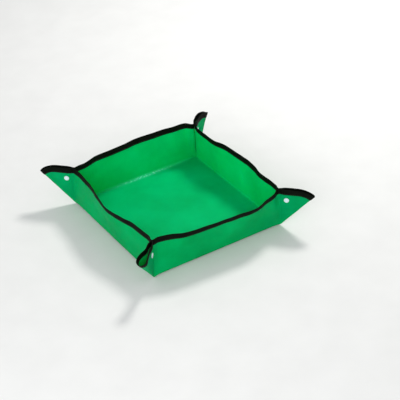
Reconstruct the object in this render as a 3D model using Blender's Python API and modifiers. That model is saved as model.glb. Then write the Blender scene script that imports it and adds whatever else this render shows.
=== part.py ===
"""Snap-corner gardening mat: a flat bound sheet that four corner snaps pinch up into a tray.

The sheet is made of panels that meet at its creases: a floor, four walls and, at each corner,
two ear panels with two tip panels, which lie back to back and spring apart into a loop.
X runs along the narrow side, Y along the long side, Z is up; the origin is under the floor's centre.
"""
import math

import bmesh
import bpy
from mathutils import Matrix, Vector

# Units
mm = 0.001
degree = math.pi / 180

# Flat sheet
sheet_width = 475 * mm
sheet_length = 490 * mm
sheet_thickness = 0.4 * mm
sheet_corner_radius = 50 * mm
wall_height = 85 * mm

# Clearances
piece_gap = 0.3 * mm
crease_gap = 0.3 * mm
apex_relief = 2.5 * mm
least_bend_radius = 0.28 * mm

# Binding tape, folded over the sheet's edge
tape_width = 10 * mm
tape_thickness = 0.5 * mm
tape_clearance = 0.45 * mm

# Shape of a pinched corner
corner_inward_tilt = 3.4 * degree
tip_length_share = 1.45
fold_relief_angle = 0.6 * degree
balance_rounds = 4

# Loops at the corners: half their width a wall height from the floor corner, and how far they lean
open_loop_half_width = 8.147 * mm
open_loop_sway = 3.0 * degree
narrow_loop_half_width = 3.115 * mm
back_loop_sway = 6.5 * degree

# Snap fasteners
snap_from_crease = 15 * mm
snap_below_rim = 25 * mm
snap_half_stack = 2.9 * mm
snap_pad_share = 0.75
cap_radius = 5.35 * mm
cap_height = 1.7 * mm
cap_lip = 0.5 * mm
post_radius = 1.1 * mm
post_reach = 1.0 * mm
post_hole_radius = 1.5 * mm
disc_radius = 4.8 * mm
flange_thickness = 0.9 * mm
shoulder_radius = 3.3 * mm
knob_radius = 2.1 * mm
knob_reach = 1.0 * mm
knob_clearance = 0.4 * mm
snap_seat_gap = 0.45 * mm

# Mesh counts
wall_columns = 30
wall_rows = 4
ear_columns = 10
tip_columns = 6
ear_rows = 3
snap_steps = 16
tape_rows = 5

# How far each wall leans out at its rim, in degrees, at shares of its length
front_lean_shares = (
    (0.10, -0.6), (0.15, 2.8), (0.20, 7.4), (0.26, 9.8), (0.42, 12.8),
    (0.60, 14.4), (0.76, 16.2), (0.82, 13.0), (0.89, 8.2),
)
right_lean_shares = (
    (0.12, -0.6), (0.24, 0.6), (0.31, 3.6), (0.40, 5.2),
    (0.55, 3.2), (0.64, 1.2), (0.74, -4.4), (0.86, -5.6),
)
back_lean_shares = (
    (0.09, 0.0), (0.14, 3.6), (0.20, 8.6), (0.36, 10.6), (0.47, 13.8),
    (0.57, 18.0), (0.67, 16.2), (0.78, 14.8), (0.88, 9.8),
)
left_lean_shares = (
    (0.12, -3.0), (0.23, -1.4), (0.30, 2.8), (0.42, 8.4),
    (0.49, 9.6), (0.62, 5.0), (0.75, 0.2), (0.86, -2.0),
)

# Sizes that follow from those above
floor_width = sheet_width - 2 * wall_height
floor_length = sheet_length - 2 * wall_height
hinge_height = sheet_thickness / 2
apex_offset = (sheet_thickness + piece_gap) / 2
tape_offset = sheet_thickness / 2 + tape_clearance + tape_thickness / 2
tape_outer_offset = tape_offset + tape_thickness / 2
arc_centre = wall_height - sheet_corner_radius
open_loop_spread = math.asin(open_loop_half_width / wall_height)
narrow_loop_spread = math.asin(narrow_loop_half_width / wall_height)

# Tape ends are cut back so that the thick tape can turn at a crease
wall_tape_trim = tape_outer_offset * math.tan(math.pi / 8) + piece_gap
loop_tape_trim = tape_outer_offset * math.tan(math.pi / 6) + piece_gap / 2

# Heights along a snap's axis, from the plane between the ear halves
sheet_inner_height = snap_half_stack - sheet_thickness / 2 - snap_seat_gap
cap_seat_height = snap_half_stack + sheet_thickness / 2 + snap_seat_gap
seat_height = piece_gap / 2
knob_bore_radius = knob_radius + knob_clearance
knob_bore_depth = knob_reach + knob_clearance

Z = Vector((0, 0, 1))


def direction(forward, sideways):
    """Unit vector from a corner, as (out along the diagonal, towards the own wall, up)."""
    return Vector((
        math.sin(forward) * math.cos(sideways),
        math.sin(sideways),
        math.cos(forward) * math.cos(sideways),
    ))


def angle_across(opposite, side_a, side_b):
    """Turn about the vertical arc between two directions that tilt sideways and are `opposite` apart."""
    cosine = math.cos(opposite) - math.sin(side_a) * math.sin(side_b)
    return math.acos(cosine / (math.cos(side_a) * math.cos(side_b)))


# Direction of the crease between wall and ear
crease_spread = math.asin((tape_outer_offset + piece_gap / 2 - apex_offset) / (wall_height - tape_width))
crease_direction = direction(-corner_inward_tilt, crease_spread)
crease_out = (crease_direction.x + crease_direction.y) / math.sqrt(2)
crease_along = (crease_direction.y - crease_direction.x) / math.sqrt(2)
crease_lean = math.atan2(crease_out, crease_direction.z)
crease_angle = math.atan2(crease_along, math.hypot(crease_out, crease_direction.z))

# Place of the snap on an ear, from the corner
snap_radius = math.hypot(snap_from_crease, wall_height - snap_below_rim)
snap_turn = math.atan2(snap_from_crease, wall_height - snap_below_rim)
snap_forward = snap_turn - corner_inward_tilt
snap_spread = math.asin((snap_half_stack - apex_offset) / snap_radius)
pad_half_angle = snap_pad_share * cap_radius / snap_radius


def ease(share):
    """Smooth step from 0 to 1 with level ends."""
    share = min(max(share, 0), 1)
    return share * share * (3 - 2 * share)


def smooth_through(points, share):
    """Value at `share` of a smooth line through the (share, value) points."""
    last = len(points) - 1
    index = 0
    while index < last - 1 and share > points[index + 1][0]:
        index += 1

    def slope(at):
        low = points[max(at - 1, 0)]
        high = points[min(at + 1, last)]
        return (high[1] - low[1]) / (high[0] - low[0])

    start, end = points[index], points[index + 1]
    span = end[0] - start[0]
    t = (share - start[0]) / span
    return (
        (2 * t**3 - 3 * t**2 + 1) * start[1]
        + (t**3 - 2 * t**2 + t) * span * slope(index)
        + (3 * t**2 - 2 * t**3) * end[1]
        + (t**3 - t**2) * span * slope(index + 1)
    )


class LoopSide:
    """Where one half of a loop lies, for a loop that leans `sway` towards this half."""

    def __init__(self, spread, sway, ear_angle):
        self.spread = spread
        self.sway = sway
        self.ear_angle = ear_angle
        self.tip_angle = tip_length_share * spread
        self.whole_angle = self.ear_angle + self.tip_angle
        self.loop_forward = angle_across(ear_angle, crease_spread, spread + sway) - corner_inward_tilt
        self.fold_forward = self.loop_forward + angle_across(self.tip_angle, spread + sway, sway)

    def line(self, turn):
        """Direction of the ear's straight line that lies `turn` from the wall crease in the flat sheet."""
        if turn > self.ear_angle:
            swing = math.pi / 2 * (turn - self.ear_angle) / self.tip_angle
            forward = self.loop_forward + (self.fold_forward - self.loop_forward) * math.sin(swing)
            return direction(forward, self.sway + self.spread * math.cos(swing))
        forward = -corner_inward_tilt + (self.loop_forward + corner_inward_tilt) * turn / self.ear_angle
        pad_start = snap_forward - pad_half_angle
        pad_end = snap_forward + pad_half_angle
        rise_to_pad = ease((forward + corner_inward_tilt) / (pad_start + corner_inward_tilt))
        rise_to_loop = ease((forward - pad_end) / (self.loop_forward - pad_end))
        at_pad = crease_spread + (snap_spread - crease_spread) * rise_to_pad
        return direction(forward, at_pad + (self.spread + self.sway - snap_spread) * rise_to_loop)


def loop_sides(spread, sway):
    """Both halves of a loop that leans towards the first; their folds meet, so the ears share the cut."""
    equal_angle = math.pi / 4 + crease_angle - tip_length_share * spread - fold_relief_angle
    shift = 0
    for _ in range(balance_rounds):
        sides = LoopSide(spread, sway, equal_angle + shift), LoopSide(spread, -sway, equal_angle - shift)
        shift += (sides[1].fold_forward - sides[0].fold_forward) / 2
    return sides


def rim_radius(turn, depth):
    """Distance from the corner to the line that runs `depth` inside the sheet's edge."""
    flat_angle = turn - crease_angle
    straight = (wall_height - depth) / math.cos(flat_angle)
    if straight * math.sin(flat_angle) <= arc_centre:
        return straight
    reach = arc_centre * (math.sin(flat_angle) + math.cos(flat_angle))
    arc_radius = sheet_corner_radius - depth
    return reach + math.sqrt(reach**2 - 2 * arc_centre**2 + arc_radius**2)


class Wall:
    """One wall: where its floor edge lies, which way is out and how it leans."""

    def __init__(self, name, outward, length, distance, lean_shares):
        self.name = name
        self.outward = Vector(outward)
        self.along = Vector((abs(outward[1]), abs(outward[0]), 0))
        self.length = length
        self.middle = self.outward * distance + Z * hinge_height
        ends = crease_lean / degree
        self.lean_points = ((0, ends),) + lean_shares + ((1, ends),)

    def bare_point(self, share, height):
        """Point of the wall's middle surface at `height`, `share` of the way between its creases."""
        travel = (share - 0.5) * (self.length - 2 * height * math.tan(crease_angle))
        lean = smooth_through(self.lean_points, share) * degree
        upward = self.outward * math.sin(lean) + Z * math.cos(lean)
        return self.middle + self.along * travel + upward * height

    def point(self, share, height, offset, trim):
        """Point `offset` outside the wall's middle surface and at least `trim` from its creases."""
        margin = trim / (self.length - 2 * height * math.tan(crease_angle))
        share = min(max(share, margin), 1 - margin)
        step = 1 / wall_columns
        spread = self.bare_point(share + step, height) - self.bare_point(share - step, height)
        upward = self.bare_point(share, wall_height) - self.bare_point(share, 0)
        facing = spread.cross(upward).normalized()
        if facing.dot(self.outward) < 0:
            facing = -facing
        return self.bare_point(share, height) + facing * offset


class EarHalf:
    """One half of a corner's ear, which hangs on one end of a wall."""

    def __init__(self, corner, wall, end, loop):
        self.corner = corner
        self.wall = wall
        self.loop = loop
        inward = self.wall.along * -end
        self.foot = wall.middle + wall.along * end * wall.length / 2
        self.diagonal = (wall.outward - inward).normalized()
        self.sideways = (wall.outward + inward).normalized()
        half_span = loop.whole_angle / 2
        apex = direction(half_span - corner_inward_tilt, 0) * crease_gap / math.sin(half_span)
        self.apex = self.foot + self.world(apex + Vector((0, apex_offset, 0)))

    def name(self, piece):
        return piece.format(corner=self.corner, side=self.wall.name)

    def world(self, vector):
        """Turn a corner direction (forward, sideways, up) into a world direction."""
        return self.diagonal * vector.x + self.sideways * vector.y + Z * vector.z

    def point(self, turn, radius, offset):
        """Point on the ear at `turn` from the wall crease and `radius` from the corner."""
        step = degree / 10
        line = self.loop.line(turn)
        facing = (self.loop.line(turn + step) - self.loop.line(turn - step)).cross(line).normalized()
        return self.apex + self.world(line * radius + facing * offset)


def make_material(name, colour, roughness, metallic=0.0):
    material = bpy.data.materials.new(name)
    material.use_nodes = True
    shader = material.node_tree.nodes["Principled BSDF"]
    shader.inputs["Base Color"].default_value = (*colour, 1)
    shader.inputs["Roughness"].default_value = roughness
    shader.inputs["Metallic"].default_value = metallic
    material.diffuse_color = (*colour, 1)
    return material


def make_collection(name):
    collection = bpy.data.collections.new(name)
    bpy.context.scene.collection.children.link(collection)
    return collection


def add_mesh_object(name, mesh, look, collection):
    obj = bpy.data.objects.new(name, mesh)
    colour, roughness = look
    obj.data.materials.append(make_material(name, colour, roughness))
    collection.objects.link(obj)
    return obj


def formed_sheet(name, columns, rows, place, thickness, look):
    """A grid whose corners (0..1, 0..1) are moved by `place` and given a thickness."""
    grid = bmesh.new()
    bmesh.ops.create_grid(grid, x_segments=columns, y_segments=rows, size=0.5)
    for vertex in grid.verts:
        vertex.co = place(vertex.co.x + 0.5, vertex.co.y + 0.5)
    mesh = bpy.data.meshes.new(name)
    grid.to_mesh(mesh)
    grid.free()
    mesh.shade_smooth()
    obj = add_mesh_object(name, mesh, look, parts)
    solidify = obj.modifiers.new("Thickness", "SOLIDIFY")
    solidify.thickness = thickness
    solidify.offset = 0
    solidify.use_even_offset = True
    return obj


def turned_piece(name, profile, look, foot, axis):
    """A profile of (radius, height) points turned round `axis` from `foot`."""
    mesh = bpy.data.meshes.new(name)
    edges = [(index, index + 1) for index in range(len(profile) - 1)]
    mesh.from_pydata([(radius, 0, height) for radius, height in profile], edges, [])
    obj = add_mesh_object(name, mesh, look, parts)
    turn = axis.to_track_quat("Z", "Y").to_matrix().to_4x4()
    obj.matrix_world = Matrix.Translation(foot) @ turn
    screw = obj.modifiers.new("Turn", "SCREW")
    screw.steps = snap_steps
    screw.render_steps = snap_steps
    screw.use_merge_vertices = True
    screw.merge_threshold = 0.00001
    screw.use_smooth_shade = True
    return obj


def hinge_empty(name, place, axis, parent=None):
    """An empty on a crease, with its Z along the crease."""
    empty = bpy.data.objects.new(name, None)
    empty.empty_display_size = wall_height / 4
    parts.objects.link(empty)
    empty.matrix_world = Matrix.Translation(place) @ axis.to_track_quat("Z", "Y").to_matrix().to_4x4()
    if parent:
        hang_on(empty, parent)
    return empty


def hang_on(obj, parent):
    """Parent an object and keep it where it is."""
    bpy.context.view_layer.update()
    obj.parent = parent
    obj.matrix_parent_inverse = parent.matrix_world.inverted()


def tape_section(share):
    """(depth inside the sheet's edge, offset from the sheet) round the folded tape, for share 0..1."""
    nose = tape_offset
    section = (
        (tape_width, nose),
        (0, nose),
        (-nose * math.cos(math.pi / 6), nose * math.sin(math.pi / 6)),
        (-nose * math.cos(math.pi / 6), -nose * math.sin(math.pi / 6)),
        (0, -nose),
        (tape_width, -nose),
    )
    return section[round(share * tape_rows)]


def make_floor():
    def place(x, y):
        return Vector((
            (x - 0.5) * (floor_width - 2 * crease_gap),
            (y - 0.5) * (floor_length - 2 * crease_gap),
            hinge_height,
        ))

    return formed_sheet("floor_panel", 1, 1, place, sheet_thickness, sheet_look)


def make_wall(wall):
    start = crease_gap + sheet_thickness / 8

    def panel_place(x, y):
        below_tape = wall_height - tape_width
        height = start + (below_tape - start) * y * wall_rows / (wall_rows - 1)
        return wall.point(x, min(height, wall_height if y == 1 else below_tape), 0, crease_gap)

    def tape_place(x, y):
        depth, offset = tape_section(y)
        return wall.point(x, wall_height - depth, offset, wall_tape_trim)

    panel = formed_sheet(wall.name + "_wall_panel", wall_columns, wall_rows, panel_place,
                         sheet_thickness, sheet_look)
    tape = formed_sheet(wall.name + "_wall_binding", wall_columns, tape_rows, tape_place,
                        tape_thickness, tape_look)
    hinge = hinge_empty(wall.name + "_wall_hinge", wall.middle, wall.along)
    hang_on(panel, hinge)
    hang_on(tape, hinge)
    return hinge


def ear_strip(half, name, bounds, trims, relief, columns):
    """Sheet between two straight lines of the ear, `trims` away from them and `relief` from the corner."""
    def place(x, y):
        nominal = bounds[0] + (bounds[1] - bounds[0]) * x
        radius = relief + (rim_radius(nominal, 0) - relief) * y
        low = bounds[0] + trims[0] / radius
        high = bounds[1] - trims[1] / radius
        return half.point(low + (high - low) * x, radius, 0)

    return formed_sheet(half.name(name), columns, ear_rows, place, sheet_thickness, sheet_look)


def ear_tape(half, name, bounds, trims, columns):
    """Folded tape along the rim between two straight lines of the ear."""
    def place(x, y):
        depth, offset = tape_section(y)
        turn = bounds[0] + (bounds[1] - bounds[0]) * x
        radius = rim_radius(turn, depth)
        turn = min(max(turn, bounds[0] + trims[0] / radius), bounds[1] - trims[1] / radius)
        if x == 1:
            turn = bounds[1] - trims[1] / radius
        return half.point(turn, rim_radius(turn, depth), offset)

    return formed_sheet(half.name(name), columns, tape_rows, place, tape_thickness, tape_look)


def cut_post_hole(panel, half):
    """Hole through the ear panel for the snap's post."""
    depth = 4 * snap_half_stack
    bpy.ops.mesh.primitive_cylinder_add(vertices=snap_steps, radius=post_hole_radius, depth=depth)
    cutter = bpy.context.object
    cutter.name = panel.name + "_hole"
    for collection in list(cutter.users_collection):
        collection.objects.unlink(cutter)
    cutters.objects.link(cutter)
    cutter.matrix_world = (
        Matrix.Translation(snap_centre(half) + half.sideways * 2.5 * snap_half_stack)
        @ half.sideways.to_track_quat("Z", "Y").to_matrix().to_4x4()
    )
    cutter.hide_render = True
    cutter.display_type = "WIRE"
    cut = panel.modifiers.new("Post hole", "BOOLEAN")
    cut.operation = "DIFFERENCE"
    cut.object = cutter


def snap_centre(half):
    """Centre of the snap on the plane between the two ear halves."""
    on_sheet = half.point(snap_turn, snap_radius, 0)
    return on_sheet - half.sideways * half.sideways.dot(on_sheet - half.foot)


def make_cap(half):
    rim = cap_seat_height + cap_lip
    top = cap_seat_height + cap_height
    dome = [
        (cap_radius * math.cos(angle), rim + (top - rim) * math.sin(angle))
        for angle in (math.pi / 2, math.pi / 3, math.pi / 6, 0)
    ]
    dome[0] = (0, top)
    post_end = sheet_inner_height - post_reach
    profile = dome + [
        (cap_radius - cap_lip / 2, cap_seat_height),
        (post_radius, cap_seat_height),
        (post_radius, post_end),
        (0, post_end),
    ]
    name = half.name("{corner}_snap_{side}_cap")
    return turned_piece(name, profile, cap_look, snap_centre(half), half.sideways)


def make_stud(half):
    """Snap half with the knob; it sits on the inner face of `half`."""
    flange = sheet_inner_height - flange_thickness
    pocket = seat_height + flange_thickness / 2
    profile = [
        (0, pocket),
        (post_hole_radius, pocket),
        (post_hole_radius, sheet_inner_height),
        (disc_radius, sheet_inner_height),
        (disc_radius, flange),
        (shoulder_radius, seat_height),
        (knob_radius, seat_height),
        (knob_radius, -knob_reach * 2 / 3),
        (knob_radius * 2 / 3, -knob_reach),
        (0, -knob_reach),
    ]
    return turned_piece(half.name("{corner}_snap_stud"), profile, cap_look, snap_centre(half), half.sideways)


def make_socket(half):
    """Snap half with the bore for the knob; it sits on the inner face of `half`."""
    profile = [
        (post_hole_radius, knob_bore_depth),
        (post_hole_radius, sheet_inner_height),
        (disc_radius, sheet_inner_height),
        (disc_radius, seat_height + flange_thickness / 3),
        (disc_radius - flange_thickness / 3, seat_height),
        (knob_bore_radius, seat_height),
        (knob_bore_radius, knob_bore_depth),
        (post_hole_radius, knob_bore_depth),
    ]
    name = half.name("{corner}_snap_socket")
    return turned_piece(name, profile, cap_look, snap_centre(half), half.sideways)


def make_ear_half(half, wall_hinge, carries_stud):
    ear = (0, half.loop.ear_angle)
    tip = (half.loop.ear_angle, half.loop.whole_angle)
    half_gap = piece_gap / 2
    fold_trim = half_gap - apex_offset
    panel = ear_strip(half, "{corner}_ear_{side}_panel", ear, (0, half_gap), apex_relief, ear_columns)
    tape = ear_tape(half, "{corner}_ear_{side}_binding", ear, (wall_tape_trim, loop_tape_trim), ear_columns)
    cut_post_hole(panel, half)
    cap = make_cap(half)
    inner_snap = make_stud(half) if carries_stud else make_socket(half)
    crease = half.world(crease_direction)
    ear_hinge = hinge_empty(half.name("{corner}_ear_{side}_hinge"), half.foot, crease, wall_hinge)
    for piece in (panel, tape, cap, inner_snap):
        hang_on(piece, ear_hinge)

    tip_relief = least_bend_radius / half.loop.spread
    tip_trims = (half_gap, fold_trim)
    tip_panel = ear_strip(half, "{corner}_tip_{side}_panel", tip, tip_trims, tip_relief, tip_columns)
    tip_tape = ear_tape(half, "{corner}_tip_{side}_binding", tip, (loop_tape_trim, fold_trim), tip_columns)
    loop_line = half.world(half.loop.line(half.loop.ear_angle))
    tip_hinge = hinge_empty(half.name("{corner}_tip_{side}_hinge"), half.apex, loop_line, ear_hinge)
    for piece in (tip_panel, tip_tape):
        hang_on(piece, tip_hinge)


for old in list(bpy.data.objects):
    bpy.data.objects.remove(old)

parts = make_collection("gardening_mat")
cutters = make_collection("cutters")
sheet_look = ((0.0, 0.445, 0.122), 0.35)
tape_look = ((0.012, 0.015, 0.011), 0.55)
cap_look = ((0.79, 0.87, 0.9), 0.25)

walls = {
    "front": Wall("front", (0, -1, 0), floor_width, floor_length / 2, front_lean_shares),
    "right": Wall("right", (1, 0, 0), floor_length, floor_width / 2, right_lean_shares),
    "back": Wall("back", (0, 1, 0), floor_width, floor_length / 2, back_lean_shares),
    "left": Wall("left", (-1, 0, 0), floor_length, floor_width / 2, left_lean_shares),
}

# Each corner's loop: half its opening, its lean, and the side it leans towards
loops = {
    "front_left": (open_loop_spread, open_loop_sway, "left"),
    "front_right": (narrow_loop_spread, 0, "right"),
    "back_right": (narrow_loop_spread, back_loop_sway, "right"),
    "back_left": (narrow_loop_spread, 0, "left"),
}

# Each corner: the wall end that carries the stud, then the one that carries the socket
corners = {
    "front_left": (("front", -1), ("left", -1)),
    "front_right": (("front", 1), ("right", -1)),
    "back_right": (("back", 1), ("right", 1)),
    "back_left": (("back", -1), ("left", 1)),
}


def ear_half(corner, side, end):
    spread, sway, leaning_side = loops[corner]
    leaning, leaned_from = loop_sides(spread, sway)
    return EarHalf(corner, walls[side], end, leaning if side == leaning_side else leaned_from)


make_floor()
wall_hinges = {name: make_wall(wall) for name, wall in walls.items()}
for corner, ends in corners.items():
    for carries_stud, (side, end) in zip((True, False), ends):
        make_ear_half(ear_half(corner, side, end), wall_hinges[side], carries_stud)
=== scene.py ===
import math

import bpy
import numpy as np
from mathutils import Matrix, Vector


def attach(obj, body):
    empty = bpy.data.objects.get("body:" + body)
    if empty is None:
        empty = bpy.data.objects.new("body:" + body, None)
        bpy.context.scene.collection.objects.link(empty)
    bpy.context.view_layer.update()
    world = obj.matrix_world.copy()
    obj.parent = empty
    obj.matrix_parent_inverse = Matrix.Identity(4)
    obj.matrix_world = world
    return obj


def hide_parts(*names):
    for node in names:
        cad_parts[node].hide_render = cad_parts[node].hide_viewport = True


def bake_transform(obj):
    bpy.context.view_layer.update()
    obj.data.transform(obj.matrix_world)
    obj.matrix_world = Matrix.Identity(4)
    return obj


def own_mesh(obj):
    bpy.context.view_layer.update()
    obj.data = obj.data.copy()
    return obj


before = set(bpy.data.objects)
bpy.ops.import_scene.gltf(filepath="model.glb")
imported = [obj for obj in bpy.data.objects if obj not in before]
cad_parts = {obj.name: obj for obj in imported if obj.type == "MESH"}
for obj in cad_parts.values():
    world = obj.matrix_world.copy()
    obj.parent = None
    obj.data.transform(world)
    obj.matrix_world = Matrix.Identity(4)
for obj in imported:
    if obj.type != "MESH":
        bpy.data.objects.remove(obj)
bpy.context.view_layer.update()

# Snap-corner gardening mat. The flat sheet is followed panel by panel: every point of it has a
# place in the flat cut (metres from its centre), which also carries the weave.

# Units
mm = 0.001
degree = math.pi / 180

# Flat sheet, as in the frame; the tape is as wide as the photo shows it
sheet_width = 475 * mm
sheet_length = 490 * mm
sheet_thickness = 0.4 * mm
sheet_corner_radius = 50 * mm
wall_height = 85 * mm
crease_gap = 0.3 * mm
piece_gap = 0.3 * mm
apex_relief = 20 * mm
tape_width = 11.8 * mm

# Pinched corner, as in the frame, with the tape that its creases were set out for
corner_inward_tilt = 3.4 * degree
tip_length_share = 1.45
fold_relief_angle = 0.6 * degree
balance_rounds = 4
frame_tape_half = 1.15 * mm
frame_tape_width = 10 * mm

# Loops, as in the frame: half their opening, their lean, and the side they lean towards
loops = {
    "front_left": (5.5 * degree, 3.0 * degree, "left"),
    "front_right": (2.1 * degree, 0, "right"),
    "back_right": (2.1 * degree, 6.5 * degree, "right"),
    "back_left": (2.1 * degree, 0, "left"),
}

# Snaps, as in the frame
snap_from_crease = 15 * mm
snap_below_rim = 25 * mm
snap_half_stack = 2.9 * mm
snap_pad_share = 0.75
cap_radius = 5.35 * mm
disc_radius = 4.8 * mm
post_radius = 1.1 * mm

# Soft folds and tape
floor_fold = 5 * mm
floor_fold_run = 16 * mm
ear_fold = 2.4 * mm
pinch_turn = 8 * degree
pinched_sheets = 0.23 * mm
pinched_tapes = 0.93 * mm
fold_depth_share = 0.4
ear_fold_share = 0.4
# Reach of the painted light along the creases between walls and ears
painted_crease_light_reach = 3.2 * mm
# Middle, reach, inset and width of the painted highlight along the back floor crease
painted_highlight_middle = 16 * mm
painted_highlight_reach = 120 * mm
painted_highlight_inset = 2.2 * mm
painted_highlight_width = 8.5 * mm
base_bend = 0.3
floor_evenness = 0.3
floor_lift = 0.35 * mm
floor_calm, floor_calm_run = 8 * mm, 45 * mm
snap_calm, snap_calm_run = 7 * mm, 14 * mm
tape_half = 0.85 * mm
tuck = 2.6 * mm
wall_hold_share = 0.045
stage_drop = 2.4 * mm
stitch_pitch = 3.6 * mm
stitch_length = 2.7 * mm
stitch_radius = 0.27 * mm
stitch_inset = 2.0 * mm

# Meshes: grid cells along the long and short pieces, and the step that slopes are taken over
long_columns, wall_rows, ear_columns, ear_rows = 84, 24, 30, 26
fold_columns = 10
section_probe = 4
nudge = 0.0015

# Sheet look
weave_pitch = 2.4 * mm
weave_rise = 0.16 * mm
film_rise = 0.35 * mm
# Colour of the painted light along the creases between walls and ears
painted_crease_light_colour = (0.01, 0.72, 0.23)
# Colours of the painted highlight along the back floor crease: its haze and its glint dots
painted_highlight_haze = (0.06, 0.80, 0.42)
painted_glint_dots = (0.28, 0.98, 0.80)
# The outer face is given darker greens than the inner face
outside_greens = (0.0, 0.250, 0.074), (0.0, 0.335, 0.102), (0.0, 0.425, 0.140)
inside_greens = (0.0, 0.395, 0.104), (0.0, 0.500, 0.145), (0.0, 0.585, 0.182)

# Studio
stage_reach = 6.0
sky_strength = 0.57
backdrop_strength = 0.95
key_place, key_size, key_power, key_colour = (1.15, 0.60, 1.5), 0.42, 21, (1.0, 0.985, 0.95)
fill_place, fill_size, fill_power = (-1.5, -1.35, 0.8), 1.5, 25
azimuth, elevation, roll = -31.5 * degree, 34.27 * degree, -2.61 * degree
camera_distance, camera_right, camera_up = 2.757, 0.0503, 0.0242
camera_lens, camera_sensor = 119.3, 36

# How far each wall leans out at its rim, in degrees, at shares of its length
lean_shares = {
    "front": (
        (0.04, -3.6), (0.10, -1.0), (0.15, 2.8), (0.20, 7.4), (0.25, 9.6), (0.34, 11.6),
        (0.46, 13.4), (0.60, 14.4), (0.76, 16.2), (0.81, 13.8), (0.85, 10.2), (0.93, 6.0),
    ),
    "right": (
        (0.04, 0.0), (0.20, 0.0), (0.25, 0.9), (0.30, 3.3), (0.39, 5.2), (0.46, 4.0), (0.55, 3.2),
        (0.63, 1.6), (0.68, -0.6), (0.74, -4.4), (0.86, -5.8), (0.96, -4.6),
    ),
    "back": (
        (0.04, -0.8), (0.09, 0.0), (0.14, 3.6), (0.20, 8.6), (0.30, 9.8), (0.40, 11.4),
        (0.48, 14.2), (0.55, 18.0), (0.61, 18.2), (0.67, 16.2), (0.78, 15.0), (0.85, 11.4),
        (0.95, 8.8),
    ),
    "left": (
        (0.04, -3.7), (0.14, -3.0), (0.23, -1.4), (0.29, 2.2), (0.35, 5.2), (0.42, 8.4),
        (0.49, 9.6), (0.55, 7.8), (0.64, 4.2), (0.75, 0.2), (0.82, -1.7), (0.92, -2.4),
    ),
}

# Sizes that follow
floor_width = sheet_width - 2 * wall_height
floor_length = sheet_length - 2 * wall_height
hinge_height = sheet_thickness / 2
apex_offset = (sheet_thickness + piece_gap) / 2
arc_centre = wall_height - sheet_corner_radius
upright = np.array((0, 0, 1.0))


def direction(forward, sideways):
    """Unit vectors from a corner, as (out along the diagonal, towards the own wall, up)."""
    forward, sideways = np.broadcast_arrays(forward, sideways)
    upward = np.cos(forward) * np.cos(sideways)
    return np.stack((np.sin(forward) * np.cos(sideways), np.sin(sideways), upward), axis=-1)


def angle_across(opposite, side_a, side_b):
    """Turn between two lines that lie `opposite` apart and `side_a`, `side_b` to the side."""
    cosine = math.cos(opposite) - math.sin(side_a) * math.sin(side_b)
    return math.acos(cosine / (math.cos(side_a) * math.cos(side_b)))


crease_half = frame_tape_half + piece_gap / 2 - apex_offset
crease_spread = math.asin(crease_half / (wall_height - frame_tape_width))
crease_direction = direction(-corner_inward_tilt, crease_spread)
crease_out = (crease_direction[0] + crease_direction[1]) / math.sqrt(2)
crease_along = (crease_direction[1] - crease_direction[0]) / math.sqrt(2)
crease_lean = math.atan2(crease_out, crease_direction[2])
crease_angle = math.atan2(crease_along, math.hypot(crease_out, crease_direction[2]))
snap_radius = math.hypot(snap_from_crease, wall_height - snap_below_rim)
snap_turn = math.atan2(snap_from_crease, wall_height - snap_below_rim)
snap_forward = snap_turn - corner_inward_tilt
snap_spread = math.asin((snap_half_stack - apex_offset) / snap_radius)
pad_half_angle = snap_pad_share * cap_radius / snap_radius


def ease(share):
    share = np.clip(share, 0, 1)
    return share * share * (3 - 2 * share)


def smooth_through(points, share):
    """Values at `share` of a smooth line through the (share, value) points."""
    at, value = np.array(points, float).T
    slope = np.empty_like(at)
    slope[1:-1] = (value[2:] - value[:-2]) / (at[2:] - at[:-2])
    slope[0] = (value[1] - value[0]) / (at[1] - at[0])
    slope[-1] = (value[-1] - value[-2]) / (at[-1] - at[-2])
    index = np.clip(np.searchsorted(at, share, side="left") - 1, 0, len(at) - 2)
    span = at[index + 1] - at[index]
    t = (share - at[index]) / span
    return (
        (2 * t**3 - 3 * t**2 + 1) * value[index]
        + (t**3 - 2 * t**2 + t) * span * slope[index]
        + (3 * t**2 - 2 * t**3) * value[index + 1]
        + (t**3 - t**2) * span * slope[index + 1]
    )


class LoopSide:
    """Where one half of a loop lies, for a loop that leans `sway` towards this half."""

    def __init__(self, spread, sway, ear_angle):
        self.spread, self.sway, self.ear_angle = spread, sway, ear_angle
        self.tip_angle = tip_length_share * spread
        self.whole_angle = self.ear_angle + self.tip_angle
        to_loop = angle_across(ear_angle, crease_spread, spread + sway)
        self.loop_forward = to_loop - corner_inward_tilt
        self.fold_forward = self.loop_forward + angle_across(self.tip_angle, spread + sway, sway)

    def line(self, turn):
        """Directions of the ear's straight lines, `turn` from the wall crease in the flat cut."""
        swing = math.pi / 2 * (turn - self.ear_angle) / self.tip_angle
        tip = direction(
            self.loop_forward + (self.fold_forward - self.loop_forward) * np.sin(swing),
            self.sway + self.spread * np.cos(swing),
        )
        reach = self.loop_forward + corner_inward_tilt
        forward = -corner_inward_tilt + reach * turn / self.ear_angle
        pad_start = snap_forward - pad_half_angle
        pad_end = snap_forward + pad_half_angle
        rise_to_pad = ease((forward + corner_inward_tilt) / (pad_start + corner_inward_tilt))
        rise_to_loop = ease((forward - pad_end) / (self.loop_forward - pad_end))
        at_pad = crease_spread + (snap_spread - crease_spread) * rise_to_pad
        ear = direction(forward, at_pad + (self.spread + self.sway - snap_spread) * rise_to_loop)
        return np.where((turn > self.ear_angle)[..., None], tip, ear)


def loop_sides(spread, sway):
    """Both halves of a loop that leans towards the first; their folds meet."""
    equal_angle = math.pi / 4 + crease_angle - tip_length_share * spread - fold_relief_angle
    shift = 0
    for _ in range(balance_rounds):
        sides = [LoopSide(spread, k * sway, equal_angle + k * shift) for k in (1, -1)]
        shift += (sides[1].fold_forward - sides[0].fold_forward) / 2
    return sides


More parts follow.
